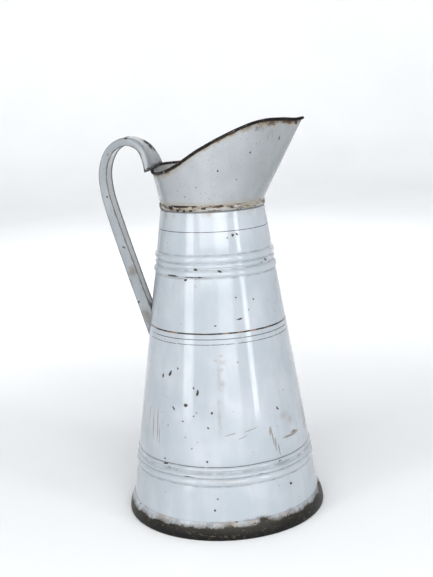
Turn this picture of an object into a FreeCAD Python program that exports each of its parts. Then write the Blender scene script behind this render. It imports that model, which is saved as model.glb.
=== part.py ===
import FreeCAD, Part
import math
import os

# Enamelled sheet-steel water jug. Millimetres, +Z up, origin at the centre of the foot's standing plane.
# +X is the pouring direction, the handle stands at -X, and the jug is symmetric about the XZ plane.

V = FreeCAD.Vector
AXIS_Z = V(0, 0, 1)

# Driving dimensions
SHEET = 1.0                 # steel sheet with enamel on both faces
FOOT_R = 102.6              # outer radius of the foot at the floor
CONE_R0 = 99.6              # outer radius of the body's cone, carried down to the floor
CONE_TAPER = 0.15           # loss of radius per millimetre of height
NECK_Z = 318.7              # joint between the body and the collar
NECK_R = CONE_R0 - CONE_TAPER * NECK_Z

HEM_TOP = 16.5              # top edge of the folded foot hem
HEM_FLARE = 3.6             # how far the wall's lower edge is spread inside the hem
FOLD_GAP = 1.4              # height of the fold below the wall's lower edge
HEM_EDGE = 0.7              # thickness of the hem along its top edge
FOOT_ROUND = 0.9            # rounding of the fold's outer edge at the floor
FOLD_ROUND = 1.6            # rounding of the fold's inner edge at the floor
PAN_Z = 9.0                 # underside of the recessed bottom
PAN_CORNER = 5.2            # width of the bend from the bottom down into its skirt
PAN_CLEARANCE = 0.3         # between the pan's rim and the inside of the wall

# Swaged beads of the body: (lower height, upper height, how far the crest stands proud)
BEADS = [(52.0, 58.8, 1.1), (59.4, 62.9, 0.9), (66.2, 69.6, 0.9),
         (252.6, 259.4, 0.9), (261.6, 265.6, 0.45), (266.6, 273.6, 1.0)]

RING_HALF = 3.3             # half height of the half-round neck ring
RING_PROUD = 1.5

# Collar: a right cone behind and an oblique cone for the spout, joined by two flat sides
COLLAR_Z0 = 321.0           # foot of the flare
COLLAR_R0 = 52.2
COLLAR_Z1 = 408.0           # height at which the two end circles are given, above the whole rim
BACK_SLOPE = 0.19
SPOUT_SLOPE = 0.53
SPOUT_NOSE_R = 2.5

# Side view of the lip's top, from behind the handle to past the beak: (x, z)
LIP_TOP = [(-75, 355.0), (-50, 355.4), (-34, 360.2), (-4, 377.3), (28, 392.4),
           (52, 400.1), (72, 400.6), (88, 399.4), (98, 401.4)]
LIP_R = 1.45                # outer radius of the curled lip
WIRE_R = 0.75               # wire inside the curl
WIRE_GAP = 0.05
PIPE_SECTIONS = 18          # sections along one half of the lip

# Handle stations from the body up and over to the lip: (x, z, depth, width)
HANDLE = [(-62.5, 176, 13.5, 19.5), (-73.8, 214, 12.5, 20.5), (-84.6, 251, 11.6, 22.5),
          (-98.3, 300, 10.4, 25.0), (-106.0, 333, 9.4, 27.5), (-106.4, 357, 9.0, 29.5),
          (-98.0, 376, 8.5, 31.5), (-82.0, 384, 8.0, 34.5), (-66.8, 378, 7.2, 39.5),
          (-59.2, 366, 6.6, 43.0), (-56.6, 352, 6.2, 45.0)]
HANDLE_CORNER = 3.0         # rounding of the channel's back corners
STRIP_CORNER = 0.2          # rounding of the strip's edges
STRIP_LIFT = 0.3            # how far the strip lies inside the channel's free edges
STRIP_GAP = 0.05            # solder gap between strip and channel

BELOW, ABOVE = 300.0, 450.0  # heights clear of the lip, for cutting tools
CUT_REACH = 100.0           # half width of a cutting tool, wider than the jug's mouth


def save(shape, node):
    shape.exportStep(os.path.join("parts", node + ".step"))


def cone_radius(z):
    return CONE_R0 - CONE_TAPER * z


def point(r, z):
    return V(r, 0, z)


def line(a, b):
    return Part.makeLine(a, b)


def arc(a, middle, b):
    return Part.Arc(a, middle, b).toShape()


def revolve(edges):
    """Turn a closed outline in the XZ plane into a solid of revolution."""
    face = Part.Face(Part.Wire(Part.__sortEdges__(edges)))
    return face.revolve(V(0, 0, 0), AXIS_Z, 360)


def wall_outline(inset, z_low, z_high):
    """Edges of the body's beaded side, set in from the outer face, and its two end points."""
    edges = []
    low = point(cone_radius(z_low) - inset, z_low)
    here = low
    for z0, z1, proud in BEADS:
        start = point(cone_radius(z0) - inset, z0)
        end = point(cone_radius(z1) - inset, z1)
        middle_z = (z0 + z1) / 2
        crest = point(cone_radius(middle_z) - inset + proud, middle_z)
        edges.append(line(here, start))
        edges.append(arc(start, crest, end))
        here = end
    high = point(cone_radius(z_high) - inset, z_high)
    edges.append(line(here, high))
    return edges, low, high


def flare_points(inset):
    """The spread lower edge of the wall: foot point, a middle point and the top of the hem."""
    foot = point(cone_radius(FOLD_GAP) - inset + HEM_FLARE * 0.5, FOLD_GAP)
    half = point(cone_radius(HEM_TOP / 2) - inset + HEM_FLARE * 0.2, HEM_TOP / 2)
    top = point(cone_radius(HEM_TOP + 2) - inset, HEM_TOP + 2)
    return foot, half, top


def make_body_wall():
    """Rolled cone of sheet with its swaged beads and the spread lower edge."""
    edges = []
    ends = []
    for inset in (0, SHEET):
        side, low, high = wall_outline(inset, HEM_TOP + 2, NECK_Z)
        foot, half, top = flare_points(inset)
        edges += side
        edges.append(arc(foot, half, top))
        ends.append((foot, high))
    edges.append(line(ends[0][0], ends[1][0]))
    edges.append(line(ends[0][1], ends[1][1]))
    return revolve(edges)


def make_base_pan():
    """Recessed bottom; its edge runs down inside the wall, folds under it and up outside as the hem."""
    foot_out, half_out, top_out = flare_points(0)
    foot_in = flare_points(SHEET)[0]
    skirt_r = foot_in.x - SHEET
    pan_top = PAN_Z + SHEET
    pan_bend = point(skirt_r - PAN_CORNER, PAN_Z)
    skirt_foot = point(skirt_r, 1.5)
    floor_in = point(skirt_r + FOLD_ROUND, 0)
    floor_out = point(FOOT_R - FOOT_ROUND, 0)
    hem_foot = point(FOOT_R, 1.0)
    hem_edge = point(cone_radius(HEM_TOP) + HEM_EDGE, HEM_TOP)
    pan_rim = point(cone_radius(pan_top) - SHEET - PAN_CLEARANCE - 3.0, pan_top)
    edges = [
        line(V(0, 0, PAN_Z), pan_bend),
        arc(pan_bend, point(skirt_r - 2.0, PAN_Z - 1.8), skirt_foot),
        arc(skirt_foot, point(skirt_r + 0.5, 0.4), floor_in),
        line(floor_in, floor_out),
        arc(floor_out, point(FOOT_R - 0.25, 0.3), hem_foot),
        arc(hem_foot, point(FOOT_R - 1.2, 8.6), hem_edge),
        line(hem_edge, top_out),
        arc(top_out, half_out, foot_out),
        line(foot_out, foot_in),
        arc(foot_in, point(foot_in.x - 0.9, PAN_Z * 0.55), pan_rim),
        line(pan_rim, V(0, 0, pan_top)),
        line(V(0, 0, pan_top), V(0, 0, PAN_Z)),
    ]
    return revolve(edges)


def make_neck_ring():
    """Half-round band over the joint between body and collar."""
    low = point(cone_radius(NECK_Z - RING_HALF), NECK_Z - RING_HALF)
    mid = point(NECK_R, NECK_Z)
    high = point(NECK_R, NECK_Z + RING_HALF)
    crest = point(NECK_R + RING_PROUD, NECK_Z)
    edges = [line(low, mid), line(mid, high), arc(low, crest, high)]
    return revolve(edges)


def collar_circles(z):
    """Back radius, nose radius and nose centre of the collar's level section at height z."""
    rise = z - COLLAR_Z0
    share = rise / (COLLAR_Z1 - COLLAR_Z0)
    back_r = COLLAR_R0 + BACK_SLOPE * rise
    nose_r = COLLAR_R0 + (SPOUT_NOSE_R - COLLAR_R0) * share
    nose_x = COLLAR_R0 + SPOUT_SLOPE * rise - nose_r
    return back_r, nose_r, nose_x


def tangent_angle():
    """Direction, from +X, of the normal to the flat sides; it is the same at every height."""
    back_r, nose_r, nose_x = collar_circles(COLLAR_Z1)
    return math.acos((back_r - nose_r) / nose_x)


def on_circle(x, r, angle, z):
    return V(x + r * math.cos(angle), r * math.sin(angle), z)


def collar_solid(inset):
    """Closed solid bounded by the collar's cones and flats, set in by the sheet where asked."""
    turn = tangent_angle()
    z0, z1 = COLLAR_Z0, COLLAR_Z1
    low_r = COLLAR_R0 - inset
    back_r, nose_r, nose_x = collar_circles(z1)
    back_r -= inset
    nose_r -= inset
    low = {s: on_circle(0, low_r, s * turn, z0) for s in (1, -1)}
    nose = {s: on_circle(nose_x, nose_r, s * turn, z1) for s in (1, -1)}
    back = {s: on_circle(0, back_r, s * turn, z1) for s in (1, -1)}
    low_front = arc(low[-1], V(low_r, 0, z0), low[1])
    low_back = arc(low[1], V(-low_r, 0, z0), low[-1])
    top_front = arc(nose[-1], V(nose_x + nose_r, 0, z1), nose[1])
    top_back = arc(back[1], V(-back_r, 0, z1), back[-1])
    faces = [
        Part.makeRuledSurface(low_front, top_front),
        Part.makeRuledSurface(low_back, top_back),
        Part.Face(Part.Wire([low_front, low_back])),
        Part.Face(Part.Wire([top_front, line(nose[1], back[1]), top_back, line(back[-1], nose[-1])])),
    ]
    for s in (1, -1):
        side = [line(low[s], nose[s]), line(nose[s], back[s]), line(back[s], low[s])]
        faces.append(Part.Face(Part.Wire(side)))
    shell = Part.makeShell(faces)
    shell.sewShape()
    solid = Part.makeSolid(Part.Shell(shell.Faces))
    if solid.Volume < 0:
        solid.reverse()
    return solid


def lip_top_curve():
    curve = Part.BSplineCurve()
    curve.interpolate([V(x, 0, z) for x, z in LIP_TOP])
    return curve


def lip_height(curve, x):
    """Height of the lip's centre line over a place x along the jug."""
    crossing = curve.intersectCC(Part.LineSegment(V(x, 0, BELOW), V(x, 0, ABOVE)))
    return crossing[0].Z - LIP_R


def lip_point(curve, place):
    """Point of the lip's centre line; place gives its spot on a level section as (part, share)."""
    part, share = place
    turn = tangent_angle()
    z = 380.0
    for _ in range(25):
        back_r, nose_r, nose_x = collar_circles(z)
        if part == "nose":
            spot = on_circle(nose_x, nose_r, share * turn, z)
        elif part == "back":
            spot = on_circle(0, back_r, turn + share * (math.pi - turn), z)
        else:
            start = on_circle(nose_x, nose_r, turn, z)
            end = on_circle(0, back_r, turn, z)
            spot = start + (end - start) * share
        z = (z + lip_height(curve, spot.x)) / 2
    return V(spot.x, spot.y, z)


def lip_side_line():
    """Centre line of one half of the lip, from the beak along the +Y side to the middle of the back."""
    nose = [("nose", share) for share in (0, 0.35, 0.7, 1)]
    side = [("side", share) for share in (0.2, 0.4, 0.6, 0.8)]
    back = [("back", i / 6) for i in range(7)]
    curve = lip_top_curve()
    points = [lip_point(curve, place) for place in nose + side + back]
    mirrored = [V(p.x, -p.y, p.z) for p in reversed(points[1:-1])]
    rim = Part.BSplineCurve()
    rim.interpolate(points + mirrored, PeriodicFlag=True)
    rim.segment(rim.FirstParameter, rim.parameter(points[-1]))
    return rim


def pipe(rim, radius):
    """Round bar bent along the whole rim: a loft along one half, and its mirror image."""
    first, last = rim.FirstParameter, rim.LastParameter
    circles = []
    for i in range(PIPE_SECTIONS + 1):
        where = first + (last - first) * i / PIPE_SECTIONS
        along = rim.tangent(where)[0]
        if i in (0, PIPE_SECTIONS):
            along = V(0, along.y, 0)
        ring = Part.Circle(rim.value(where), along, radius)
        circles.append(Part.Wire([ring.toShape()]))
    half = Part.makeLoft(circles, True)
    return half.fuse(half.mirror(V(0, 0, 0), V(0, 1, 0)))


def make_collar_and_wire():
    """Flared collar with its drawn-out spout, the lip curled round a wire, and that wire."""
    rim = lip_side_line()
    neck = Part.makeCylinder(NECK_R, COLLAR_Z0 - NECK_Z, V(0, 0, NECK_Z))
    bore = Part.makeCylinder(NECK_R - SHEET, COLLAR_Z0 - NECK_Z + 1, V(0, 0, NECK_Z))
    curve = lip_top_curve()
    curve.translate(V(0, 0, -LIP_R))
    first, last = curve.StartPoint, curve.EndPoint
    low_back, low_front = V(first.x, 0, BELOW), V(last.x, 0, BELOW)
    side_view = Part.Wire([curve.toShape(), line(last, low_front), line(low_front, low_back),
                           line(low_back, first)])
    below_rim = Part.Face(side_view).extrude(V(0, 2 * CUT_REACH, 0))
    below_rim.translate(V(0, -CUT_REACH, 0))
    wall = collar_solid(0).common(below_rim).cut(collar_solid(SHEET))
    wall = wall.fuse(neck).cut(bore)
    curl = wall.fuse(pipe(rim, LIP_R)).cut(pipe(rim, WIRE_R + WIRE_GAP))
    return curl, pipe(rim, WIRE_R)


def handle_frame():
    """Centre curve of the handle and its parameter at each station."""
    curve = Part.BSplineCurve()
    curve.interpolate([V(x, 0, z) for x, z, depth, width in HANDLE])
    return curve, [curve.parameter(V(x, 0, z)) for x, z, depth, width in HANDLE]


def handle_section(curve, where, near, far, half_width, corner):
    """Rectangle across the handle, from near (inward of the centre) to far, with rounded far corners."""
    centre = curve.value(where)
    along = curve.tangent(where)[0]
    out = V(-along.z, 0, along.x)
    side = V(0, 1, 0)

    def at(depth, width):
        return centre + out * depth + side * width

    knee = corner * (1 - math.sqrt(0.5))
    edges = [line(at(near, -half_width), at(far - corner, -half_width)),
             arc(at(far - corner, -half_width), at(far - knee, -half_width + knee),
                 at(far, -half_width + corner)),
             line(at(far, -half_width + corner), at(far, half_width - corner)),
             arc(at(far, half_width - corner), at(far - knee, half_width - knee),
                 at(far - corner, half_width)),
             line(at(far - corner, half_width), at(near, half_width)),
             line(at(near, half_width), at(near, -half_width))]
    return Part.Wire(edges)


def handle_loft(near_of, far_of, side_inset, corner):
    """Loft along the handle; near_of and far_of give the faces' offsets from the centre by depth."""
    curve, places = handle_frame()
    wires = []
    for (x, z, depth, width), where in zip(HANDLE, places):
        half_width = width / 2 - side_inset
        wires.append(handle_section(curve, where, near_of(depth), far_of(depth), half_width, corner))
    return Part.makeLoft(wires, True)


def trim_handle(shape):
    """Mitre the root onto the body and rest the other end on the lip."""
    low, high = BEADS[2][1], NECK_Z
    outline = [V(0, 0, low), point(cone_radius(low), low), point(cone_radius(high), high), V(0, 0, high)]
    body = revolve([line(outline[i - 1], outline[i]) for i in range(4)])
    mouth = Part.makeBox(80, 120, 40, V(-64, -60, LIP_TOP[1][1] - 40))
    return shape.cut(body).cut(mouth)


def make_handle():
    """Channel that forms the back and sides of the handle, and the strip that closes it."""
    channel = handle_loft(lambda d: -d / 2, lambda d: d / 2, 0, HANDLE_CORNER)
    hollow = handle_loft(lambda d: -d / 2 - 2, lambda d: d / 2 - SHEET, SHEET, HANDLE_CORNER - SHEET)
    strip = handle_loft(lambda d: STRIP_LIFT - d / 2, lambda d: STRIP_LIFT + SHEET - d / 2,
                        SHEET + STRIP_GAP, STRIP_CORNER)
    return trim_handle(channel).cut(hollow), trim_handle(strip)


os.makedirs("parts", exist_ok=True)
collar, wire = make_collar_and_wire()
channel, strip = make_handle()
pieces = {
    "body_wall": make_body_wall(),
    "base_pan": make_base_pan(),
    "neck_ring": make_neck_ring(),
    "spout_collar": collar,
    "rim_wire": wire,
    "handle_channel": channel,
    "handle_strip": strip,
}
for node, shape in pieces.items():
    box = shape.optimalBoundingBox(False)
    print(node, shape.ShapeType, len(shape.Solids), shape.isValid(), round(shape.Volume),
          [round(v, 1) for v in (box.XMin, box.XMax, box.YMin, box.YMax, box.ZMin, box.ZMax)])
    save(shape, node)
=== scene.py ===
import math

import bpy
from mathutils import Matrix, Vector


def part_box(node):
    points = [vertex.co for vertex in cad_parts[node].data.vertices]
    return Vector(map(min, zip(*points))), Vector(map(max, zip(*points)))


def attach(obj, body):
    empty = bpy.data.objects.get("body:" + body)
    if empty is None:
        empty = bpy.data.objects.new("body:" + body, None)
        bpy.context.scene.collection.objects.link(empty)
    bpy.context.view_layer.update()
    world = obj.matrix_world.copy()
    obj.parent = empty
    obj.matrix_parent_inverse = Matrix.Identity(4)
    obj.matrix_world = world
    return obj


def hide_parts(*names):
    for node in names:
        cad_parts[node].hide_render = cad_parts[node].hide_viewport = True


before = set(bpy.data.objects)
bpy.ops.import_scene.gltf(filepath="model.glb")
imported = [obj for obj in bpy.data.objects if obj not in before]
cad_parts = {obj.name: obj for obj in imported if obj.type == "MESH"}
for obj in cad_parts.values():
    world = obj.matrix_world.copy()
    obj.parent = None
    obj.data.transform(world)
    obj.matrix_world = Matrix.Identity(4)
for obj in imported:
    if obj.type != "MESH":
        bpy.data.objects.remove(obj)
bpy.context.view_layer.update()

# An old water jug of sheet steel with vitreous enamel. The foot stands on z = 0, the spout pours towards +X
# and the handle is at -X. Lengths below are in millimetres and are turned to metres by MM.

MM = 0.001

SIDES = 192                     # columns round the body
SHEET = 1.0                     # thickness of the enamelled sheet
CONE_FOOT = 99.6                # radius of the body's cone carried down to the floor
CONE_TAPER = 0.15               # and what it loses for each millimetre of height
FOOT_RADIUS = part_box("base_pan")[1].x / MM
NECK_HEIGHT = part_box("body_wall")[1].z / MM
RING_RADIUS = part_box("neck_ring")[1].x / MM
RING_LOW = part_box("neck_ring")[0].z / MM
RING_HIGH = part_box("neck_ring")[1].z / MM

# Swaged beads: lower height, upper height, how far the crest stands proud of the cone
BEADS = [(52.0, 58.8, 1.3), (59.4, 62.9, 1.0), (66.2, 69.6, 0.9),
         (252.6, 259.4, 1.25), (261.6, 265.6, 0.6), (266.6, 273.6, 1.35)]
GROOVE = 0.3                    # the sheet is drawn in this far beside a bead
BEAD_STEPS = 8
# Dents: height, bearing in degrees from +X, depth, reach
DENTS = [(60, -118, 1.3, 30), (84, -100, 0.6, 40), (64, -64, 0.6, 26)]
HEM_TOP = 17.0                  # upper edge of the foot's hem

# Collar: round behind, drawn out to a narrow spout in front, with flat sides between
FLARE_HEIGHT = 321.0            # it starts to widen here
COLLAR_RADIUS = 52.2            # its radius up to there
COLLAR_END = 408.0              # where the spout's nose would come down to its least radius
SPOUT_NOSE = 2.5                # and that radius
BACK_SLOPE = 0.19               # how fast the back leans out, for each millimetre of height
SPOUT_SLOPE = 0.53              # and the spout
COLLAR_COLUMNS = 240
NOSE_CROWDING = 0.35            # how much closer the columns lie round the nose
COLLAR_REACH = 140.0            # no point of the collar is farther from its middle
LIP_RADIUS = 1.45
WIRE_RADIUS = 0.75
# Side view of the lip's top edge, (x, z), on the -Y side and on the +Y side: it is bent a little out of true
LIP_NEAR = [(-75, 353.4), (-50, 353.8), (-34, 359.4), (-4, 377.3), (28, 392.4),
            (52, 400.1), (72, 400.6), (88, 399.4), (98, 401.4)]
LIP_FAR = [(-75, 358.4), (-50, 358.8), (-27, 359.6), (-4, 370.4), (28, 388.0),
           (52, 397.6), (72, 399.2), (88, 398.8), (98, 401.4)]

# Handle from the body up and over to the lip: x, z, depth, width
HANDLE = [(-62.5, 176, 13.5, 19.5), (-73.8, 214, 12.5, 20.5), (-84.6, 251, 11.6, 22.5),
          (-98.3, 300, 10.4, 25.0), (-106.0, 333, 9.3, 27.5), (-106.4, 357, 8.8, 29.5),
          (-98.0, 376, 8.5, 31.5), (-82.0, 384, 8.0, 34.5), (-66.8, 378, 7.2, 39.5),
          (-59.2, 366, 6.6, 43.0), (-56.6, 356.5, 6.0, 45.0)]
HANDLE_STATIONS = 90
# How its upper end leans forward and up, for each millimetre towards +Y
END_TWIST = Vector((0.17, 0, 0.11))
ROOT_DEPTH = 0.7                # its foot ends this far inside the body's wall


# ---------------------------------------------------------------- small helpers

def mix(a, b, share):
    return a + (b - a) * share


def smooth(low, high, value):
    """0 at low and beyond it, 1 at high and beyond it, with a soft turn between."""
    share = min(max((value - low) / (high - low), 0.0), 1.0)
    return share * share * (3 - 2 * share)


def spline(points, x):
    """Height of a smooth curve through points sorted by their first value."""
    last = len(points) - 2
    i = 0
    while i < last and points[i + 1][0] < x:
        i += 1
    (x0, y0), (x1, y1) = points[i], points[i + 1]
    step = (y1 - y0) / (x1 - x0)
    before = (y0 - points[i - 1][1]) / (x0 - points[i - 1][0]) if i else step
    after = (points[i + 2][1] - y1) / (points[i + 2][0] - x1) if i < last else step
    start, end = (before + step) / 2, (step + after) / 2
    t = (x - x0) / (x1 - x0)
    width = x1 - x0
    return ((2 * t**3 - 3 * t**2 + 1) * y0 + (t**3 - 2 * t**2 + t) * width * start
            + (3 * t**2 - 2 * t**3) * y1 + (t**3 - t**2) * width * end)


def cone(height):
    """Outer radius of the body's plain cone at a height."""
    return CONE_FOOT - CONE_TAPER * height


# ---------------------------------------------------------------- modelling

def hoop(name, radius, height, sides=SIDES):
    """An open circle of edges, ready to be drawn out."""
    bpy.ops.object.select_all(action="DESELECT")
    bpy.ops.mesh.primitive_circle_add(vertices=sides, radius=radius * MM, location=(0, 0, height * MM))
    piece = bpy.context.object
    piece.name = name
    bpy.ops.object.transform_apply(location=True, rotation=True, scale=True)
    return piece


def draw_out(outline):
    """Extrude the new hoop through the radii and heights of an outline; a radius of 0 closes it."""
    bpy.ops.object.mode_set(mode="EDIT")
    bpy.ops.mesh.select_all(action="SELECT")
    radius, height = outline[0]
    for next_radius, next_height in outline[1:]:
        rise = (0, 0, (next_height - height) * MM)
        bpy.ops.mesh.extrude_region_move(TRANSFORM_OT_translate={"value": rise})
        if next_radius == 0:
            bpy.ops.mesh.merge(type="CENTER")
            break
        growth = next_radius / radius
        bpy.ops.transform.resize(value=(growth, growth, 1))
        radius, height = next_radius, next_height
    bpy.ops.object.mode_set(mode="OBJECT")


def straight_tube(name, sides, rings):
    """A tube whose ring k stands k metres up, to be bent to shape by bend_tube."""
    piece = hoop(name, 1 / MM, 0, sides)
    bpy.ops.object.mode_set(mode="EDIT")
    bpy.ops.mesh.select_all(action="SELECT")
    for _ in range(rings - 1):
        bpy.ops.mesh.extrude_region_move(TRANSFORM_OT_translate={"value": (0, 0, 1)})
    bpy.ops.object.mode_set(mode="OBJECT")
    return piece


def pick_rings(piece, which):
    """Go to edit mode with the chosen rings of a straight tube selected."""
    bpy.ops.object.mode_set(mode="EDIT")
    bpy.ops.mesh.select_mode(type="VERT")
    bpy.ops.mesh.select_all(action="DESELECT")
    bpy.ops.object.mode_set(mode="OBJECT")
    for vertex in piece.data.vertices:
        vertex.select = round(vertex.co.z) in which
    bpy.ops.object.mode_set(mode="EDIT")
    bpy.ops.mesh.select_mode(type="EDGE")


def join_ends(piece, rings):
    """Bridge the last ring of a straight tube to its first, so that the section closes on itself."""
    pick_rings(piece, (0, rings - 1))
    bpy.ops.mesh.bridge_edge_loops()
    bpy.ops.object.mode_set(mode="OBJECT")


def cap_ends(piece, rings):
    """Close both ends of a straight tube."""
    for end in (0, rings - 1):
        pick_rings(piece, (end,))
        bpy.ops.mesh.fill()
        bpy.ops.object.mode_set(mode="OBJECT")


def bend_tube(piece, sides, place, notes):
    """Move each point of a straight tube to place(column, ring), in millimetres.

    Each of the notes is kept on the points for the finishes to read.
    """
    kept = {name: piece.data.attributes.new(name, "FLOAT", "POINT").data for name in notes}
    for vertex in piece.data.vertices:
        ring = round(vertex.co.z)
        column = round(math.atan2(vertex.co.y, vertex.co.x) / math.tau * sides) % sides
        for name, value in notes.items():
            kept[name][vertex.index].value = value(column, ring)
        vertex.co = place(column, ring) * MM
    piece.data.update()


def face_outwards(piece):
    """Weld points that coincide and turn every face outwards."""
    bpy.ops.object.select_all(action="DESELECT")
    piece.select_set(True)
    bpy.context.view_layer.objects.active = piece
    bpy.ops.object.mode_set(mode="EDIT")
    bpy.ops.mesh.select_all(action="SELECT")
    bpy.ops.mesh.remove_doubles(threshold=1e-6)
    bpy.ops.mesh.normals_make_consistent(inside=False)
    bpy.ops.object.mode_set(mode="OBJECT")


def dent(piece, height, bearing, depth, reach):
    """Push the sheet in at one place, fading out over reach."""
    turn = math.radians(bearing)
    out = Vector((math.cos(turn), math.sin(turn), 0))
    spot = out * cone(height) + Vector((0, 0, height))
    for vertex in piece.data.vertices:
        away = (vertex.co / MM - spot).length
        vertex.co -= out * depth * MM * smooth(reach, 0, away)
    piece.data.update()


def add_modifier(piece, kind, **settings):
    """Add a modifier with its settings and apply it at once."""
    bpy.context.view_layer.objects.active = piece
    modifier = piece.modifiers.new(kind.title(), kind)
    for name, value in settings.items():
        setattr(modifier, name, value)
    bpy.ops.object.modifier_apply(modifier=modifier.name)


def hand_over(piece, node, finishes, angle=40):
    """Smooth a finished piece, give it its finishes, hang it on the root body and hide the CAD node that it
    replaces.
    """
    bpy.ops.object.select_all(action="DESELECT")
    piece.select_set(True)
    bpy.context.view_layer.objects.active = piece
    bpy.ops.object.shade_smooth_by_angle(angle=math.radians(angle))
    for finish in finishes:
        piece.data.materials.append(finish)
    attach(piece, "root")
    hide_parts(node)


# ---------------------------------------------------------------- pieces

def body_outline():
    """Radii and heights of the body's outer face, from its spread lower edge to the neck."""
    outline = [(cone(2) + 1.5, 2), (cone(6) + 1.0, 6), (cone(10) + 0.5, 10), (cone(15) + 0.1, 15)]
    height = 20.0
    for low, high, proud in BEADS:
        runs = max(1, round((low - height) / 8))
        if height < low:
            outline += [(cone(mix(height, low, k / runs)), mix(height, low, k / runs)) for k in range(runs)]
        for k in range(BEAD_STEPS):
            at = mix(low, high, k / BEAD_STEPS)
            lift = (proud + GROOVE) * (1 - (2 * k / BEAD_STEPS - 1) ** 2) ** 0.7 - GROOVE
            outline.append((cone(at) + lift, at))
        outline.append((cone(high) - GROOVE, high))
        height = high + 1
    outline += [(cone(mix(height, NECK_HEIGHT, k / 6)), mix(height, NECK_HEIGHT, k / 6)) for k in range(7)]
    return outline


def make_body():
    """Rolled and swaged wall of the body, open at both ends; its inner face takes the second finish."""
    outline = body_outline()
    piece = hoop("jug_body", *outline[0])
    draw_out(outline)
    face_outwards(piece)
    for height, bearing, depth, reach in DENTS:
        dent(piece, height, bearing, depth, reach)
    add_modifier(piece, "SOLIDIFY", thickness=SHEET * MM, offset=-1, material_offset=1)
    return piece


def make_base():
    """Recessed bottom with its edge folded under the wall and up outside it."""
    top = cone(HEM_TOP)
    outline = [(top + 0.1, HEM_TOP + 0.6), (top + 0.7, HEM_TOP + 0.3), (top + 1.4, HEM_TOP - 0.9),
               (99.6, 14), (100.9, 10.5), (101.9, 7), (102.4, 4), (FOOT_RADIUS, 2),
               (FOOT_RADIUS - 0.2, 0.8), (FOOT_RADIUS - 0.8, 0.15), (FOOT_RADIUS - 1.6, 0),
               (98.4, 0), (97.7, 0.2), (97.0, 1.0), (96.6, 2.4), (95.9, 5), (94.9, 7.2), (93.2, 8.6),
               (91, 9), (75, 9.0), (55, 9.1), (30, 9.3), (12, 9.4), (0, 9.4)]
    piece = hoop("jug_foot", *outline[0])
    draw_out(outline)
    face_outwards(piece)
    add_modifier(piece, "SOLIDIFY", thickness=0.8 * MM, offset=-1)
    return piece


def make_neck_ring():
    """Half-round band over the joint between body and collar."""
    steps = 14
    middle = (RING_LOW + RING_HIGH) / 2
    half = (RING_HIGH - RING_LOW) / 2
    outline = []
    for k in range(steps + 1):
        turn = math.pi * (k / steps - 0.5)
        height = middle + half * math.sin(turn)
        inside = cone(min(height, NECK_HEIGHT)) - 0.1
        outline.append((mix(inside, RING_RADIUS, math.cos(turn) ** 0.8), height))
    piece = hoop("neck_band", *outline[0])
    draw_out(outline)
    bpy.ops.object.mode_set(mode="EDIT")
    bpy.ops.mesh.select_mode(type="EDGE")
    bpy.ops.mesh.select_all(action="DESELECT")
    bpy.ops.mesh.select_non_manifold()
    bpy.ops.mesh.bridge_edge_loops()
    bpy.ops.object.mode_set(mode="OBJECT")
    face_outwards(piece)
    return piece


def collar_circles(height):
    """Back radius, nose radius and nose centre of the collar's level section."""
    rise = max(height - FLARE_HEIGHT, 0)
    share = rise / (COLLAR_END - FLARE_HEIGHT)
    back = COLLAR_RADIUS + BACK_SLOPE * rise
    nose = mix(COLLAR_RADIUS, SPOUT_NOSE, share)
    return back, nose, COLLAR_RADIUS + SPOUT_SLOPE * rise - nose


def outside_collar(x, y, height):
    """How far a point lies outside the collar's level section, in millimetres."""
    back, nose, reach = collar_circles(height)
    y = abs(y)
    if reach < 0.01:
        return math.hypot(x, y) - back
    lean = (back - nose) / reach
    rest = math.sqrt(1 - lean * lean)
    along = x * rest - y * lean
    if along < 0:
        return math.hypot(x, y) - back
    if along > reach * rest:
        return math.hypot(x - reach, y) - nose
    return x * lean + y * rest - back


def collar_point(column, height, inset=0.0):
    """Point of the collar's wall on one column of the mesh, columns lying closer round the nose."""
    turn = math.tau * column / COLLAR_COLUMNS
    turn -= NOSE_CROWDING * math.sin(turn)
    centre = 0.45 * collar_circles(height)[2]
    near, far = 0.0, COLLAR_REACH
    for _ in range(26):         # halving the gap this often leaves nothing to see
        middle = (near + far) / 2
        x, y = centre + middle * math.cos(turn), middle * math.sin(turn)
        if outside_collar(x, y, height) > -inset:
            far = middle
        else:
            near = middle
    return Vector((centre + near * math.cos(turn), near * math.sin(turn), height))


def lip_height(x, y):
    """Height of the lip's centre line."""
    return mix(spline(LIP_NEAR, x), spline(LIP_FAR, x), smooth(-30, 30, y)) - LIP_RADIUS


def lip_frame():
    """For each column: the lip's centre, the way out of the jug and the way up, at right angles to the lip."""
    centres = []
    for column in range(COLLAR_COLUMNS):
        height = 375.0
        for _ in range(24):
            point = collar_point(column, height)
            height = mix(height, lip_height(point.x, point.y), 0.6)
        centres.append(collar_point(column, height))
    frames = []
    for column, centre in enumerate(centres):
        along = centres[(column + 1) % COLLAR_COLUMNS] - centres[column - 1]
        up_wall = centre - collar_point(column, centre.z - 6)
        out = along.cross(up_wall).normalized()
        up = out.cross(along).normalized()
        frames.append((centre + out * 0.2, out, up))
    return frames


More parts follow.
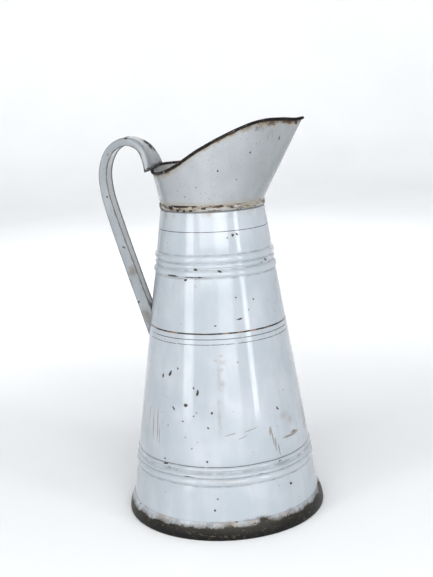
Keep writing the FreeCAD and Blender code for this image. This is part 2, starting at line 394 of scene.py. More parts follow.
def make_collar():
    """Collar and lip in one closed skin: up the outer face, round the curled lip and down the inner face."""
    frames = lip_frame()
    wall_rings, lip_rings = 26, 15
    rings = 2 * wall_rings + lip_rings
    piece = straight_tube("spout_collar_and_lip", COLLAR_COLUMNS, rings)
    join_ends(piece, rings)
    start, end = math.radians(-98), math.radians(146)

    def place(column, ring):
        centre, out, up = frames[column]
        if wall_rings <= ring < wall_rings + lip_rings:
            turn = mix(start, end, (ring - wall_rings) / (lip_rings - 1))
            return centre + (out * math.cos(turn) + up * math.sin(turn)) * LIP_RADIUS
        inner = ring >= wall_rings
        share = (rings - 1 - ring if inner else ring) / wall_rings
        top = centre.z + (0.4 if inner else -LIP_RADIUS * 0.9)
        height = mix(NECK_HEIGHT, top, share)
        return collar_point(column, height, SHEET if inner else 0.0)

    def below_lip(column, ring):
        """Millimetres below the lip on the outside; 99 on the inside."""
        return (1 - ring / wall_rings) * (frames[column][0].z - NECK_HEIGHT) if ring <= wall_rings else 99

    for face in piece.data.polygons:
        rings_touched = [piece.data.vertices[k].co.z for k in face.vertices]
        if min(rings_touched) > wall_rings - 0.5:
            face.material_index = 1 if max(rings_touched) < wall_rings + lip_rings + 0.5 else 2
    bend_tube(piece, COLLAR_COLUMNS, place, {"below_lip": below_lip})
    face_outwards(piece)
    return piece


def make_rim_wire():
    """Round wire inside the curled lip, all the way round, following the lip where it is out of true."""
    frames = lip_frame()
    sides = 10
    piece = straight_tube("lip_wire_bent", sides, COLLAR_COLUMNS)
    join_ends(piece, COLLAR_COLUMNS)

    def place(column, ring):
        centre, out, up = frames[ring]
        turn = math.tau * column / sides
        return centre + (out * math.cos(turn) + up * math.sin(turn)) * WIRE_RADIUS

    bend_tube(piece, sides, place, {})
    face_outwards(piece)
    return piece


def handle_station(share):
    """Centre, tangent, depth, width and share of the end's twist, at a share of the handle's length."""
    last = len(HANDLE) - 1
    at = share * last
    i = min(int(at), last - 1)
    t = at - i

    def value(k, j):
        return HANDLE[min(max(k, 0), last)][j]

    def blend(j):
        a, b, c, d = (value(i + n, j) for n in (-1, 0, 1, 2))
        return 0.5 * (2 * b + (c - a) * t + (2 * a - 5 * b + 4 * c - d) * t * t
                      + (3 * b - a - 3 * c + d) * t**3)

    def slope(j):
        a, b, c, d = (value(i + n, j) for n in (-1, 0, 1, 2))
        return 0.5 * ((c - a) + 2 * (2 * a - 5 * b + 4 * c - d) * t + 3 * (3 * b - a - 3 * c + d) * t * t)

    centre = Vector((blend(0), 0, blend(1)))
    along = Vector((slope(0), 0, slope(1))).normalized()
    return centre, along, blend(2), blend(3), smooth(0.72, 1.0, share)


def place_across(share, deep, wide):
    """Point of the handle deep millimetres out from its centre line and wide to the side."""
    centre, along, *_, twist = handle_station(share)
    out = Vector((-along.z, 0, along.x))
    return centre + out * deep + Vector((0, wide, 0)) + END_TWIST * wide * twist


def channel_section(depth, width, spread):
    """Closed outline of the channel's sheet as (deep, wide): round the outside, then back inside.

    Its back corners are rounded, more broadly as spread goes from 0 to 1.
    """
    half = width / 2
    outer, inner = [], []
    for inset, run in ((0.0, outer), (SHEET, inner)):
        side, back = half - inset, depth / 2 - inset
        round_off = min(3.4, depth * 0.45) - inset * 0.7
        run.append((-depth / 2, side))
        run.append((-depth / 2 + 1.2, side))
        broad = round_off * (1.15 + 1.6 * spread)
        for k in range(7):
            turn = math.pi / 2 * k / 6
            run.append((back - round_off + round_off * math.sin(turn), side - broad + broad * math.cos(turn)))
        run.append((back - 0.15, side * 0.35))
    whole = outer + [(d, -w) for d, w in reversed(outer)]
    lining = inner + [(d, -w) for d, w in reversed(inner)]
    return whole + lining[::-1]


def along_handle(column, ring):
    """Share of the handle's length at a ring of its mesh."""
    return ring / (HANDLE_STATIONS - 1)


def make_handle_channel():
    """Outer channel of the hollow handle, open on the side that faces the body."""
    sides = len(channel_section(10, 25, 0))
    piece = straight_tube("handle_channel_bent", sides, HANDLE_STATIONS)
    cap_ends(piece, HANDLE_STATIONS)

    def place(column, ring):
        share = along_handle(column, ring)
        deep, wide = channel_section(*handle_station(share)[2:])[column]
        return place_across(share, deep, wide)

    def from_edge(column, ring):
        """Millimetres from the free edges of the channel's flanges."""
        depth, width, twist = handle_station(along_handle(column, ring))[2:]
        return channel_section(depth, width, twist)[column][0] + depth / 2

    bend_tube(piece, sides, place, {"from_edge": from_edge, "along": along_handle})
    cut_root(piece)
    face_outwards(piece)
    return piece


def make_handle_strip():
    """Flat strip that closes the channel: (deep, share of the half width) round its section."""
    section = [(0.2, 1), (0.0, 0.97), (0.0, 0.8), (0.0, 0), (0.0, -0.8), (0.0, -0.97), (0.2, -1),
               (0.9, -1), (0.9, -0.5), (0.9, 0.5), (0.9, 1)]
    piece = straight_tube("handle_strip_bent", len(section), HANDLE_STATIONS)
    cap_ends(piece, HANDLE_STATIONS)

    def place(column, ring):
        share = along_handle(column, ring)
        depth, width = handle_station(share)[2:4]
        deep, wide = section[column]
        return place_across(share, 0.45 - depth / 2 + deep, wide * (width / 2 - SHEET - 0.4))

    def from_edge(column, ring):
        """Millimetres from the strip's two long edges."""
        width = handle_station(along_handle(column, ring))[3]
        return (1 - abs(section[column][1])) * (width / 2 - SHEET)

    bend_tube(piece, len(section), place, {"from_edge": from_edge, "along": along_handle})
    cut_root(piece)
    face_outwards(piece)
    return piece


def cut_root(piece):
    """Mitre the handle's foot onto the body, ending inside the thickness of the wall."""
    low, high = (Vector((ROOT_DEPTH - cone(height), 0, height)) for height in (170, 230))
    up = high - low
    bpy.ops.object.select_all(action="DESELECT")
    piece.select_set(True)
    bpy.context.view_layer.objects.active = piece
    bpy.ops.object.mode_set(mode="EDIT")
    bpy.ops.mesh.select_all(action="SELECT")
    bpy.ops.mesh.bisect(plane_co=low * MM, plane_no=(up.z, 0, -up.x), use_fill=True, clear_outer=True)
    bpy.ops.object.mode_set(mode="OBJECT")


# ---------------------------------------------------------------- finishes

def colour(code):
    """Linear colour of an sRGB hex code."""
    parts = [int(code[k:k + 2], 16) / 255 for k in (1, 3, 5)]
    return [p / 12.92 if p <= 0.04045 else ((p + 0.055) / 1.055) ** 2.4 for p in parts] + [1]


def add(tree, kind, settings=None, **inputs):
    """Add a node with its settings, and each input with its value or its link.

    The inputs a, b, c and d go by their place, and the others by their name.
    """
    node = tree.nodes.new("ShaderNode" + kind)
    for name, value in (settings or {}).items():
        setattr(node, name, value)
    for name, value in inputs.items():
        socket = node.inputs["abcd".index(name) if name in "abcd" else name.replace("_", " ")]
        if isinstance(value, bpy.types.Node):
            value = value.outputs[0]
        if isinstance(value, bpy.types.NodeSocket):
            tree.links.new(value, socket)
        else:
            socket.default_value = value
    return node


def start_finish(name, **uniform):
    """A new finish: its tree, its shader and the place on the piece in millimetres."""
    finish = bpy.data.materials.new(name)
    finish.use_nodes = True
    tree = finish.node_tree
    shader = tree.nodes["Principled BSDF"]
    for socket, value in uniform.items():
        shader.inputs[socket].default_value = value
    where = add(tree, "TexCoord").outputs["Object"]
    return finish, tree, shader, add(tree, "VectorMath", {"operation": "SCALE"}, a=where, Scale=1 / MM)


def shake(tree, place, grain, reach):
    """The place moved about at random, so that whatever is drawn there gets a ragged edge."""
    noise = add(tree, "TexNoise", Vector=place, Scale=1 / grain, Detail=3.0)
    centred = add(tree, "VectorMath", {"operation": "SUBTRACT"}, a=noise.outputs["Color"], b=(0.5, 0.5, 0.5))
    return add(tree, "VectorMath", {"operation": "MULTIPLY_ADD"}, a=centred, b=(reach, reach, reach), c=place)


def patches(tree, place, grain, low, high, stretch=(1, 1, 1)):
    """Cloudy patches: 0 where the noise is under low and 1 where it is over high."""
    laid = add(tree, "Mapping", Vector=place, Scale=[1 / (grain * s) for s in stretch])
    noise = add(tree, "TexNoise", Vector=laid, Scale=1.0, Detail=4.0)
    return add(tree, "MapRange", Value=noise, From_Min=low, From_Max=high)


def specks(tree, place, cell, largest, rarity):
    """Small round chips scattered at random, one at most in a cell of the given size."""
    cells = add(tree, "TexVoronoi", Vector=place, Scale=1 / cell)
    chance = add(tree, "SeparateColor", Color=cells.outputs["Color"]).outputs["Red"]
    size = add(tree, "Math", {"operation": "POWER"}, a=chance, b=rarity)
    limit = add(tree, "Math", {"operation": "MULTIPLY"}, a=size, b=largest / cell)
    return add(tree, "Math", {"operation": "LESS_THAN"}, a=cells.outputs["Distance"], b=limit)


def spots(tree, place, marks):
    """1 at the middle of each mark, 0 from its edge.

    A mark is (x, y, z, bearing it faces, half width, half height, lean).
    """
    total = 0.0
    for x, y, z, bearing, wide, tall, lean in marks:
        near = add(tree, "Mapping", {"vector_type": "TEXTURE"}, Vector=place, Location=(x, y, z),
                   Rotation=(0, math.radians(lean), math.radians(bearing + 90)), Scale=(wide, 6, tall))
        spot = add(tree, "TexGradient", {"gradient_type": "SPHERICAL"}, Vector=near).outputs["Fac"]
        total = add(tree, "Math", {"operation": "MAXIMUM"}, a=total, b=spot)
    return total


def on_round(marks, radius=None):
    """Set marks given as (height, bearing, half width, half height, lean) on the body's wall or at a radius."""
    placed = []
    for height, bearing, *size in marks:
        turn = math.radians(bearing)
        reach = radius or cone(height)
        placed.append((reach * math.cos(turn), reach * math.sin(turn), height, bearing, *size))
    return placed


def enamel_coat(tree, place, light, dark):
    """White vitreous enamel: slightly uneven, faintly streaked downwards, with a fine orange peel."""
    cloud = patches(tree, place, 36, 0.3, 0.7)
    streak = patches(tree, place, 9, 0.3, 0.7, (1, 1, 12))
    share = add(tree, "Math", {"operation": "MULTIPLY_ADD"}, a=streak, b=0.4, c=cloud)
    shade = add(tree, "MixRGB", Fac=share, Color1=colour(light), Color2=colour(dark))
    rough = add(tree, "MapRange", Value=cloud, To_Min=0.06, To_Max=0.14)
    peel = add(tree, "TexNoise", Vector=place, Scale=1 / 5, Detail=1.0)
    return shade, rough, add(tree, "Math", {"operation": "MULTIPLY"}, a=peel, b=0.02)


def lay(tree, shader, ground, layers):
    """Lay each layer over the last where its mask is 1, and join the result to the shader.

    The ground is (colour, roughness, height in mm). A layer has its mask and how fully it covers before them.
    """
    shade, rough, height = ground
    for mask, share, over, over_rough, over_height in layers:
        cover = add(tree, "Math", {"operation": "MULTIPLY"}, a=mask, b=share)
        over = colour(over) if isinstance(over, str) else over
        shade = add(tree, "MixRGB", Fac=cover, Color1=shade, Color2=over)
        rough = add(tree, "Mix", a=cover, c=rough, d=over_rough)
        height = add(tree, "Mix", a=cover, c=height, d=over_height)
    bump = add(tree, "Bump", Height=height, Distance=MM)
    tree.links.new(shade.outputs[0], shader.inputs["Base Color"])
    tree.links.new(rough.outputs[0], shader.inputs["Roughness"])
    tree.links.new(bump.outputs[0], shader.inputs["Normal"])


def chip_layers(tree, worn, marks):
    """Knocks through the enamel: a brown-grey rim, and the dark burnt ground coat in the middle."""
    spot = spots(tree, worn, marks)
    rim = add(tree, "MapRange", Value=spot, From_Min=0.18, From_Max=0.32)
    core = add(tree, "MapRange", Value=spot, From_Min=0.34, From_Max=0.46)
    return [(rim, 0.75, "#7b7265", 0.5, -0.05), (core, 0.95, "#262321", 0.6, -0.12)]


def black_edge(tree, place):
    """Where the black edge coat lies: up to a ragged line, higher towards the spout, with two tongues.

    The second mask is the brown smear that runs a little above that line.
    """
    loose = shake(tree, shake(tree, place, 12, 7), 1.6, 4.5)
    tongues = spots(tree, place, on_round([(15, -64, 9, 8, 0), (16, -2, 16, 7, 0)]))
    axes = add(tree, "SeparateXYZ", Vector=loose).outputs
    level = add(tree, "Math", {"operation": "MULTIPLY_ADD"}, a=axes["X"], b=-0.012, c=axes["Z"])
    level = add(tree, "Math", {"operation": "MULTIPLY_ADD"}, a=tongues, b=-5.0, c=level)
    edge = add(tree, "MapRange", Value=level, From_Min=13.6, From_Max=12.0)
    smear = add(tree, "MapRange", Value=level, From_Min=18.0, From_Max=13.0, To_Max=0.95)
    return edge, add(tree, "Math", {"operation": "MULTIPLY"}, a=smear, b=patches(tree, place, 7, 0.25, 0.6))


def black_coat(tree, place):
    """Black edge enamel, worn brown towards its top and scuffed with tan flecks."""
    height = add(tree, "SeparateXYZ", Vector=shake(tree, place, 6, 8)).outputs["Z"]
    worn = add(tree, "MapRange", Value=height, From_Min=4.0, From_Max=13.0)
    shade = add(tree, "MixRGB", Fac=worn, Color1=colour("#08090a"), Color2=colour("#2a261f"))
    flecks = patches(tree, place, 1.8, 0.58, 0.7, (2.5, 2.5, 1))
    flecks = add(tree, "Math", {"operation": "MULTIPLY"}, a=flecks, b=0.55)
    return add(tree, "MixRGB", Fac=flecks, Color1=shade, Color2=colour("#6b604a"))


# Marks on the body: height, bearing, half width, half height, lean

BODY_CHIPS = [
    (254.3, -127.5, 11, 1.5, 0), (253.7, -104, 17, 0.8, 0), (261, -103, 2.6, 1.7, 0), (259, -81, 2.8, 1.2, 15),
    (251, -113, 2.6, 1.8, -25), (292.3, -65.5, 2.0, 2.0, 0), (292.8, -61, 2.1, 1.5, 35),
    (264, -30, 2.4, 1.6, 40), (262, -36, 1.4, 1.2, 0), (212, -66.5, 4.6, 1.1, -6), (207, -87, 1.7, 1.0, -20), (159, -125.5, 2.0, 4.6, 30),
    (165, -118.5, 1.5, 1.5, 0), (155, -133, 1.4, 3.4, 12), (143, -102, 1.7, 4.8, 8), (147, -105, 1.2, 2.0, 0),
    (130, -111, 3.0, 2.3, 10), (125.5, -121, 1.1, 3.6, -40), (123.6, -92, 1.5, 1.8, 0),
    (120, -105, 1.3, 1.0, 0), (114, -113, 1.2, 1.2, 0), (109, -95, 1.3, 1.5, 0), (69.3, -126, 4.0, 1.0, 0), (68.4, -47.5, 2.2, 1.0, 20),
    (66.4, -123, 1.6, 1.2, 0), (74, -127, 1.5, 1.2, 0), (76, -96, 1.4, 1.6, 0), (42, -41, 2.1, 2.2, 35),
    (29, -92, 1.6, 1.5, 0), (40, -90, 1.2, 1.2, 0), (119, -43, 1.1, 3.6, -32), (60.5, -108, 9.0, 0.8, 0),
    (60, -62, 3.0, 0.8, 0), (233, -68, 1.1, 1.1, 0), (229, -52, 1.2, 1.6, 20), (91, -30, 1.6, 1.3, 0)]
BODY_STAINS = [
    (245, -103, 2.4, 2.6, 0), (253, -90, 3.4, 2.4, 0), (172, -83, 5.0, 3.6, 10), (178, -84, 3.0, 2.2, 0),
    (174, -88, 3.2, 2.2, 0), (165, -84, 3.6, 2.4, -30), (151, -84, 5.4, 5.0, 0), (145, -85, 3.0, 1.8, 0),
    (134, -87, 2.8, 5.0, -10), (158, -86, 2.2, 22, 0), (118, -87, 2.6, 26, 0), (88, -11.5, 4.0, 17, 0),
    (104, -32, 6, 5, 0), (110, -38, 9, 5, 0), (57, -84, 24, 2.4, 0)]
BODY_SCRATCHES = [
    (104, -141, 0.8, 22, -3), (106, -136, 1.0, 26, -3), (96, -133.5, 0.7, 12, -8), (112, -147, 1.0, 14, -2),
    (93, -50.5, 0.9, 13, -5), (85, -48.8, 0.9, 9, 3), (79, -46.6, 0.8, 9, -7), (99, -52, 1.2, 6, 6),
    (88, -35, 15, 1.3, 3), (89.5, -29, 9, 2.0, 6), (102, -80, 8, 0.6, -14), (104.5, -66, 9, 0.6, -14),
    (98, -72, 7, 0.5, -22), (97, -8, 1.6, 22, -4)]
# Lines round the body: height, half width
PAINTED_LINES = [(296.4, 0.34), (194.0, 0.36), (189.0, 0.3), (70.4, 0.36)]
WIDE_LINE = (199.4, 0.72)
# Painted shade in the grooves beside the beads, drawn as darker grey lines: height, half width
GROOVE_SHADE = [(274.2, 0.8), (266.0, 0.6), (260.4, 0.9), (251.9, 0.8),
               (70.6, 0.6), (64.6, 1.3), (59.1, 0.5), (51.4, 0.8)]


def lines(tree, place, rows):
    """1 on each level line, a little unsteady like a brush stroke, and 0 beside it."""
    height = add(tree, "SeparateXYZ", Vector=shake(tree, place, 5, 0.5)).outputs["Z"]
    total = 0.0
    for level, half in rows:
        drawn = add(tree, "Math", {"operation": "COMPARE"}, a=height, b=level, c=half)
        total = add(tree, "Math", {"operation": "MAXIMUM"}, a=total, b=drawn)
    return total


def body_enamel():
    """White vitreous enamel on steel: cool grey-white gloss, with old knocks, brown stains and painted rings."""
    finish, tree, shader, place = start_finish("white vitreous enamel, lined", IOR=1.52)
    worn = shake(tree, place, 1.8, 2.4)
    height = add(tree, "SeparateXYZ", Vector=place).outputs["Z"]
    tan_under_ring = add(tree, "MapRange", Value=height, From_Min=RING_LOW - 9, From_Max=RING_LOW, To_Max=0.8)
    tan_under_ring = add(tree, "Math", {"operation": "MULTIPLY"}, a=tan_under_ring,
                         b=patches(tree, place, 8, 0.45, 0.75))
    # Painted shadow: a dark blue-grey line on the body just under the neck band
    shadow_under_band = add(tree, "Math", {"operation": "COMPARE"}, a=height, b=RING_LOW - 0.2, c=0.7)
    stain = add(tree, "MapRange", Value=spots(tree, shake(tree, place, 4, 5), on_round(BODY_STAINS)),
                From_Min=0.0, From_Max=0.9, To_Max=0.4)
    scratch = add(tree, "MapRange", Value=spots(tree, worn, on_round(BODY_SCRATCHES)),
                  From_Min=0.1, From_Max=0.45, To_Max=0.75)
    gilt = patches(tree, place, 12, 0.5, 0.62)
    wide_paint = add(tree, "MixRGB", Fac=gilt, Color1=colour("#201d1b"), Color2=colour("#7d6245"))
    unworn = patches(tree, place, 5, 0.28, 0.42)
    ring_paint = add(tree, "Math", {"operation": "MULTIPLY"}, a=lines(tree, place, PAINTED_LINES), b=unworn)
    # Painted shade: the bead grooves darkened grey
    groove_shade = add(tree, "Math", {"operation": "MULTIPLY"}, a=lines(tree, place, GROOVE_SHADE),
                b=patches(tree, place, 10, 0.3, 0.7))
    layers = [(groove_shade, 0.6, "#74777a", 0.3, 0), (tan_under_ring, 1, "#92836d", 0.3, 0),
              (shadow_under_band, 0.8, "#4b4e52", 0.5, 0), (stain, 1, "#928b7f", 0.35, 0),
              (scratch, 1, "#6e604d", 0.5, -0.04), (ring_paint, 0.85, "#3b3c3e", 0.3, 0.01),
              (lines(tree, place, [WIDE_LINE]), 1, wide_paint, 0.3, 0.02),
              (specks(tree, worn, 6, 0.85, 4), 0.8, "#55524d", 0.6, -0.06)]
    layers += chip_layers(tree, worn, on_round(BODY_CHIPS))
    edge, smear = black_edge(tree, place)
    layers += [(smear, 1, "#4a453b", 0.4, 0), (edge, 1, black_coat(tree, place), 0.45, 0.04)]
    lay(tree, shader, enamel_coat(tree, place, "#b2b6bc", "#a3aab0"), layers)
    return finish


def inside_enamel():
    """The same enamel inside, painted whiter as painted light on the inner wall; dulled by water and
    rust-stained in patches.
    """
    finish, tree, shader, place = start_finish("white vitreous enamel, inside", IOR=1.52)
    worn = shake(tree, place, 1.8, 2.4)
    layers = [(patches(tree, place, 22, 0.52, 0.8, (1, 1, 3)), 1, "#a89c88", 0.4, 0),
              (specks(tree, worn, 8, 1.6, 3), 1, "#3d332b", 0.6, -0.08)]
    # Painted light: a whiter copy of the body's enamel
    lay(tree, shader, enamel_coat(tree, place, "#bec0c0", "#afb2b2"), layers)
    return finish


def foot_enamel():
    """Black edge enamel round the foot, white enamel above its ragged line and on the recessed bottom."""
    dull = {"IOR": 1.52, "Specular IOR Level": 0.3}
    finish, tree, shader, place = start_finish("black and white vitreous enamel, foot", **dull)
    worn = shake(tree, place, 1.8, 2.4)
    flat = add(tree, "VectorMath", {"operation": "MULTIPLY"}, a=shake(tree, place, 6, 5), b=(1, 1, 0))
    radius = add(tree, "VectorMath", {"operation": "LENGTH"}, a=flat).outputs["Value"]
    outer = add(tree, "MapRange", Value=radius, From_Min=93.0, From_Max=94.0)
    edge, smear = black_edge(tree, place)
    black = add(tree, "Math", {"operation": "MULTIPLY"}, a=edge, b=outer)
    bare = patches(tree, place, 5, 0.62, 0.7)
    bare_black = add(tree, "Math", {"operation": "MULTIPLY"}, a=black, b=bare)
    layers = [(patches(tree, place, 25, 0.5, 0.8), 1, "#8c7b62", 0.4, 0),
              (specks(tree, worn, 6, 1.8, 3), 1, "#3a3029", 0.6, -0.08), (smear, 1, "#4a453b", 0.4, 0),
              (black, 1, black_coat(tree, place), 0.42, 0.05), (bare_black, 0.5, "#3c3126", 0.6, 0)]
    lay(tree, shader, enamel_coat(tree, place, "#b2b6bc", "#a2a7ac"), layers)
    return finish


# Rust streaks on the neck band, as on the body
BAND_RUST = [(321.6, -121, 17, 2.6, 0), (317.2, -124, 3, 1.6, 0), (316.8, -116, 2.2, 1.4, 0),
             (317, -108, 2.4, 1.4, 0), (319, -134, 5, 2.5, 0)]


def worn_band():
    """Enamel worn through to rusty steel on the neck band: off-white remains, brown and black patches."""
    finish, tree, shader, place = start_finish("worn white enamel over rusty steel", IOR=1.52)
    worn = shake(tree, place, 1.6, 2.6)
    around = (3, 3, 0.7)
    streak = spots(tree, worn, on_round(BAND_RUST, RING_RADIUS))
    streak = add(tree, "MapRange", Value=streak, From_Min=0.15, From_Max=0.4)
    height = add(tree, "SeparateXYZ", Vector=shake(tree, place, 4, 2)).outputs["Z"]
    # Painted shade: the band's lower edge greyed where it turns under
    low = add(tree, "MapRange", Value=height, From_Min=RING_LOW + 1.6, From_Max=RING_LOW + 0.4)
    layers = [(patches(tree, place, 5, 0.42, 0.6, around), 1, "#8d877b", 0.35, 0),
              (patches(tree, worn, 4, 0.5, 0.6, around), 1, "#655444", 0.55, -0.06),
              (patches(tree, worn, 3, 0.56, 0.61, around), 1, "#3a261c", 0.7, -0.1),
              (low, 0.8, "#6d6f70", 0.5, 0), (streak, 1, "#241812", 0.7, -0.12)]
    lay(tree, shader, enamel_coat(tree, place, "#acaeac", "#8f908e"), layers)
    return finish


# Marks on the collar: x, y, z, bearing it faces, half width, half height, lean

SPOUT_SIDE = -46                # bearing that the collar's flat side at -Y faces
COLLAR_CHIPS = [(87.7, -9, 395, SPOUT_SIDE, 3.0, 3.6, 0), (43, -44, 370, SPOUT_SIDE, 1.4, 1.4, 0),
                (12.3, -57.3, 354.7, -78, 1.3, 1.3, 0), (70.9, -21, 381, SPOUT_SIDE, 1.0, 3.0, 10),
                (-10, -58, 340, -100, 1.2, 1.4, 0), (30, -50, 345, -60, 1.1, 1.1, 0)]
COLLAR_RUST = [(48, -39, 394.5, SPOUT_SIDE, 12, 7, 20), (38, -46, 391.5, SPOUT_SIDE, 13, 5, 15),
               (62, -28, 396.5, SPOUT_SIDE, 13, 4.5, 0), (78, -16, 397, SPOUT_SIDE, 12, 4, 0)]
COLLAR_CRACKS = [(60.6, -31, 384, SPOUT_SIDE, 0.7, 7, 16), (64.6, -28.5, 386, SPOUT_SIDE, 0.6, 6, -12)]


def collar_enamel():
    """The same white enamel on the collar, painted greyer than on the body as painted shade; tan and rusty where
    drops hang under the lip.
    """
    finish, tree, shader, place = start_finish("white vitreous enamel, collar", IOR=1.52)
    worn = shake(tree, place, 1.8, 2.4)
    below = add(tree, "Attribute", {"attribute_name": "below_lip"}).outputs["Fac"]
    drops = add(tree, "TexNoise", Vector=place, Scale=1 / 6, Detail=4.0)
    below = add(tree, "Math", {"operation": "MULTIPLY_ADD"}, a=drops, b=-14.0, c=below)
    tan = add(tree, "MapRange", Value=below, From_Min=-1.0, From_Max=-6.5, To_Max=0.8)
    brown = add(tree, "MapRange", Value=below, From_Min=-4.5, From_Max=-8.0, To_Max=0.9)
    height = add(tree, "SeparateXYZ", Vector=shake(tree, place, 5, 5)).outputs["Z"]
    low = add(tree, "MapRange", Value=height, From_Min=RING_HIGH + 4, From_Max=RING_HIGH, To_Max=0.6)
    # Painted shade: the collar darkened grey towards the spout's nose
    axes = add(tree, "SeparateXYZ", Vector=shake(tree, place, 14, 12)).outputs
    to_nose = add(tree, "Math", {"operation": "MULTIPLY_ADD"}, a=axes["Z"], b=-SPOUT_SLOPE, c=axes["X"])
    nose = COLLAR_RADIUS - SPOUT_SLOPE * FLARE_HEIGHT       # the same measure, at the spout's front
    shade_towards_nose = add(tree, "MapRange", Value=to_nose, From_Min=nose - 58, From_Max=nose - 8, To_Max=0.42)
    grain = add(tree, "TexNoise", Vector=place, Scale=1.0, Detail=5.0)
    rust = spots(tree, shake(tree, place, 5, 6), COLLAR_RUST)
    rust = add(tree, "Math", {"operation": "MULTIPLY_ADD"}, a=grain, b=1.5, c=rust)
    rust = add(tree, "MapRange", Value=rust, From_Min=0.93, From_Max=1.12, To_Max=0.9)
    crack = spots(tree, worn, COLLAR_CRACKS)
    crack = add(tree, "MapRange", Value=crack, From_Min=0.1, From_Max=0.4, To_Max=0.7)
    layers = [(shade_towards_nose, 1, "#6f7374", 0.2, 0), (tan, 1, "#928977", 0.35, 0), (brown, 1, "#5f4d3a", 0.6, -0.05),
              (low, 1, "#918979", 0.4, 0), (rust, 1, "#45301f", 0.65, -0.06), (crack, 1, "#6d6358", 0.5, -0.05),
              (specks(tree, worn, 7, 0.9, 4), 0.8, "#55524d", 0.6, -0.06)]
    layers += chip_layers(tree, worn, COLLAR_CHIPS)
    # Painted shade: the collar's enamel is a greyer copy of the body's
    lay(tree, shader, enamel_coat(tree, place, "#a5a9ac", "#989c9f"), layers)
    return finish


def black_lip():
    """Black edge enamel on the curled lip, rubbed grey and brown along its side and beside the handle."""
    dull = {"IOR": 1.52, "Specular IOR Level": 0.25}
    finish, tree, shader, place = start_finish("black vitreous enamel, lip", **dull)
    worn = shake(tree, place, 1.6, 2.0)
    along = add(tree, "SeparateXYZ", Vector=place).outputs["X"]
    middle = add(tree, "Math", {"operation": "COMPARE"}, a=along, b=16.0, c=26.0)
    behind = add(tree, "MapRange", Value=along, From_Min=-20.0, From_Max=-34.0, To_Max=0.09)
    wear = add(tree, "TexNoise", Vector=worn, Scale=1 / 3, Detail=4.0)
    rubbed = add(tree, "Math", {"operation": "MULTIPLY_ADD"}, a=middle, b=0.05, c=behind)
    rubbed = add(tree, "Math", {"operation": "ADD"}, a=rubbed, b=wear)
    brown = add(tree, "MapRange", Value=rubbed, From_Min=0.54, From_Max=0.66)
    grey = add(tree, "MapRange", Value=rubbed, From_Min=0.67, From_Max=0.72, To_Max=0.7)
    peel = add(tree, "TexNoise", Vector=place, Scale=1 / 3)
    rough = add(tree, "Math", {"operation": "MULTIPLY"}, a=peel, b=0.7)
    height = add(tree, "Math", {"operation": "MULTIPLY"}, a=peel, b=0.05)
    layers = [(brown, 1, "#352a22", 0.5, -0.04), (grey, 1, "#9a9b97", 0.4, -0.05)]
    lay(tree, shader, (colour("#100f0f"), rough, height), layers)
    return finish


# Marks on the handle, as on the collar

HANDLE_CHIPS = [(-80.7, -17, 388, -90, 3.0, 3.0, 0), (-91, -12, 278, -90, 2.6, 1.2, 30),
                (-96.5, -12, 273, -90, 1.6, 2.4, 0), (-79.6, -11, 220.5, -90, 1.4, 1.8, 0),
                (-81.8, -11, 264, -90, 1.4, 5.0, -14),
                (-66, 14, 381.5, -90, 5, 5, 0), (-61.5, 14, 378, -90, 6, 6, 0),
                (-58.5, 15, 373.5, -90, 5, 6, 0),
                (-64.5, 7, 381, -90, 4.5, 5, 0), (-60.5, 7, 376.5, -90, 4.5, 5, 0), (-82, 2, 388, -90, 3, 3, 0),
                (-100, -13, 372, -90, 1.4, 1.4, 0), (-104, -13, 330, -90, 1.3, 1.6, 0)]
JOINT_AT = 1.005                # share along the handle, raised by noise, from which brazing burnt it dark
HANDLE_DIRT = [(-83.6, -11, 253, -90, 5.5, 8, -14), (-72.7, -8, 206, -90, 6, 14, -16),
               (-66, -9, 192, -90, 7, 7, 0), (-88, -12, 240, -90, 3, 9, -14)]


def handle_enamel(part, light, dark):
    """The same white enamel on the handle, grimy along its seams and burnt dark where it meets the lip."""
    finish, tree, shader, place = start_finish("white vitreous enamel, " + part, IOR=1.52)
    worn = shake(tree, place, 1.8, 2.4)
    edge = add(tree, "Attribute", {"attribute_name": "from_edge"}).outputs["Fac"]
    along = add(tree, "Attribute", {"attribute_name": "along"}).outputs["Fac"]
    uneven = add(tree, "TexNoise", Vector=place, Scale=1 / 5, Detail=4.0)
    seam = add(tree, "Math", {"operation": "MULTIPLY_ADD"}, a=uneven, b=-2.4, c=edge)
    seam = add(tree, "MapRange", Value=seam, From_Min=0.2, From_Max=-0.7, To_Max=0.9)
    side = add(tree, "SeparateXYZ", Vector=place).outputs["Y"]
    seam = add(tree, "Math", {"operation": "MULTIPLY"}, a=seam,
               b=add(tree, "MapRange", Value=side, From_Min=2.0, From_Max=-2.0, To_Min=0.35))
    flux = add(tree, "TexNoise", Vector=place, Scale=1 / 1.8, Detail=3.0)
    joint = add(tree, "Math", {"operation": "MULTIPLY_ADD"}, a=flux, b=0.09, c=along)
    joint = add(tree, "MapRange", Value=joint, From_Min=JOINT_AT, From_Max=JOINT_AT + 0.008, To_Max=0.9)
    dirt = add(tree, "MapRange", Value=spots(tree, shake(tree, place, 4, 6), HANDLE_DIRT),
               From_Min=0.1, From_Max=0.6, To_Max=0.7)
    layers = [(dirt, 1, "#6d675b", 0.45, 0), (seam, 1, "#4a4339", 0.6, -0.05),
              (specks(tree, worn, 3.6, 0.9, 3), 0.75, "#5d5a55", 0.6, -0.06)]
    layers += chip_layers(tree, worn, HANDLE_CHIPS)
    layers.append((joint, 1, "#2a2522", 0.7, -0.1))
    lay(tree, shader, enamel_coat(tree, place, light, dark), layers)
    return finish


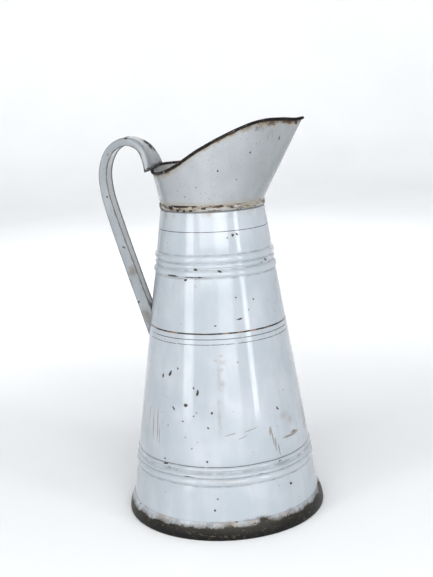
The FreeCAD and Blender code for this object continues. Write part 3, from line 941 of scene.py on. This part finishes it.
def drawn_steel():
    """Bare drawn steel wire: grey metal with fine lines along it and a little brown rust."""
    finish, tree, shader, place = start_finish("drawn steel wire", Metallic=1.0)
    rust = patches(tree, place, 3, 0.5, 0.6)
    grain = add(tree, "TexNoise", Vector=place, Scale=1 / 0.3)
    rough = add(tree, "Math", {"operation": "MULTIPLY"}, a=grain, b=0.7)
    lay(tree, shader, (colour("#8d8f90"), rough, 0.0), [(rust, 1, "#6b4b36", 0.8, 0.02)])
    return finish


def white_paper():
    """Matt backdrop paper: near white, with hardly any texture."""
    finish, tree, shader, place = start_finish("matt white paper", Roughness=0.9)
    shade = add(tree, "MixRGB", Fac=patches(tree, place, 400, 0.3, 0.7), Color1=colour("#f4f5f6"),
                Color2=colour("#f0f1f2"))
    tree.links.new(shade.outputs[0], shader.inputs["Base Color"])
    return finish


# ---------------------------------------------------------------- stage

FLOOR_RADIUS = 1600             # of its level middle
FLOOR_SIDES = 96


def make_stage():
    """Pale floor that curves up into a backdrop."""
    floor = hoop("studio_floor", FLOOR_RADIUS, 0, FLOOR_SIDES)
    sweep = [(2600, 0), (3000, 20), (3300, 120), (3500, 320), (3600, 700), (3600, 2600)]
    draw_out([(FLOOR_RADIUS, 0)] + sweep)
    bpy.ops.mesh.primitive_circle_add(vertices=FLOOR_SIDES, radius=FLOOR_RADIUS * MM, location=(0, 0, 0),
                                      fill_type="NGON")
    floor.select_set(True)
    bpy.context.view_layer.objects.active = floor
    bpy.ops.object.join()
    bpy.ops.object.shade_smooth_by_angle(angle=math.radians(60))
    floor.data.materials.append(white_paper())


def softbox(name, bearing, distance, height, aim, width, tall, power):
    """A soft light at a bearing and height, turned to a height on the jug's axis, or out and down from it.

    Metres and watts.
    """
    turn = math.radians(bearing)
    place = Vector((distance * math.cos(turn), distance * math.sin(turn), height))
    data = bpy.data.lights.new(name, "AREA")
    data.shape = "RECTANGLE"
    data.size = width
    data.size_y = tall
    data.energy = power
    light = bpy.data.objects.new(name, data)
    light.location = place
    towards = Vector((0, 0, aim)) - place if aim is not None else Vector((math.cos(turn), math.sin(turn), -0.5))
    light.rotation_euler = towards.to_track_quat("-Z", "Y").to_euler()
    light.visible_camera = False
    bpy.context.scene.collection.objects.link(light)


def make_lights():
    """Soft daylight: windows in front and beside the jug, two skylights, and lamps that whiten the backdrop."""
    world = bpy.data.worlds.new("studio")
    world.use_nodes = True
    background = world.node_tree.nodes["Background"]
    background.inputs["Color"].default_value = colour("#f1f4f8")
    background.inputs["Strength"].default_value = 0.25
    bpy.context.scene.world = world
    softbox("window front", -70, 2.4, 0.75, 0.22, 1.1, 1.5, 12)
    softbox("window left", -134, 2.0, 0.8, 0.22, 0.6, 1.7, 13)
    softbox("window right", -36, 2.0, 0.8, 0.22, 0.3, 1.7, 10)
    softbox("window far right", -14, 2.0, 0.8, 0.22, 0.2, 1.7, 0.3)
    softbox("skylight front", -84, 2.0, 1.2, 0.15, 2.6, 1.5, 34)
    softbox("skylight", -100, 0.3, 2.5, 0.0, 2.4, 2.4, 18)
    softbox("backdrop lamp right", 74, 0.9, 1.5, None, 1.6, 1.0, 16)
    softbox("backdrop lamp left", 122, 0.9, 1.5, None, 1.6, 1.0, 16)


def make_camera():
    """Just above the lip, a little to the spout's side, tilted down and turned slightly on its own axis."""
    distance, height = 1.0, 0.4352      # metres
    bearing, tilt, roll = math.radians(5.52), math.radians(11.6), math.radians(-2.91)
    data = bpy.data.cameras.new("camera")
    data.sensor_width = 36
    data.lens = 62.08
    data.clip_start = 0.01
    camera = bpy.data.objects.new("camera", data)
    place = Vector((math.sin(bearing), -math.cos(bearing), 0)) * distance + Vector((0, 0, height))
    turn = (Matrix.Rotation(bearing, 4, "Z") @ Matrix.Rotation(math.pi / 2 - tilt, 4, "X")
            @ Matrix.Rotation(roll, 4, "Z"))
    camera.matrix_world = Matrix.Translation(place) @ turn
    bpy.context.scene.collection.objects.link(camera)
    bpy.context.scene.camera = camera


# ---------------------------------------------------------------- the jug in its studio

inside = inside_enamel()
# Painted shade and light: the handle's enamel is a darker copy and the strip's a lighter copy of the same enamel
shaded_handle_paint = handle_enamel("handle", "#979b9f", "#888d91")
lit_strip_paint = handle_enamel("handle strip", "#a6abaf", "#969ba0")
hand_over(make_body(), "body_wall", [body_enamel(), inside])
hand_over(make_base(), "base_pan", [foot_enamel()])
hand_over(make_neck_ring(), "neck_ring", [worn_band()])
hand_over(make_collar(), "spout_collar", [collar_enamel(), black_lip(), inside])
hand_over(make_handle_channel(), "handle_channel", [shaded_handle_paint])
hand_over(make_handle_strip(), "handle_strip", [lit_strip_paint])
hand_over(make_rim_wire(), "rim_wire", [drawn_steel()])
make_stage()
make_lights()
make_camera()
bpy.context.scene.view_settings.view_transform = "Standard"
bpy.context.scene.view_settings.gamma = 0.88
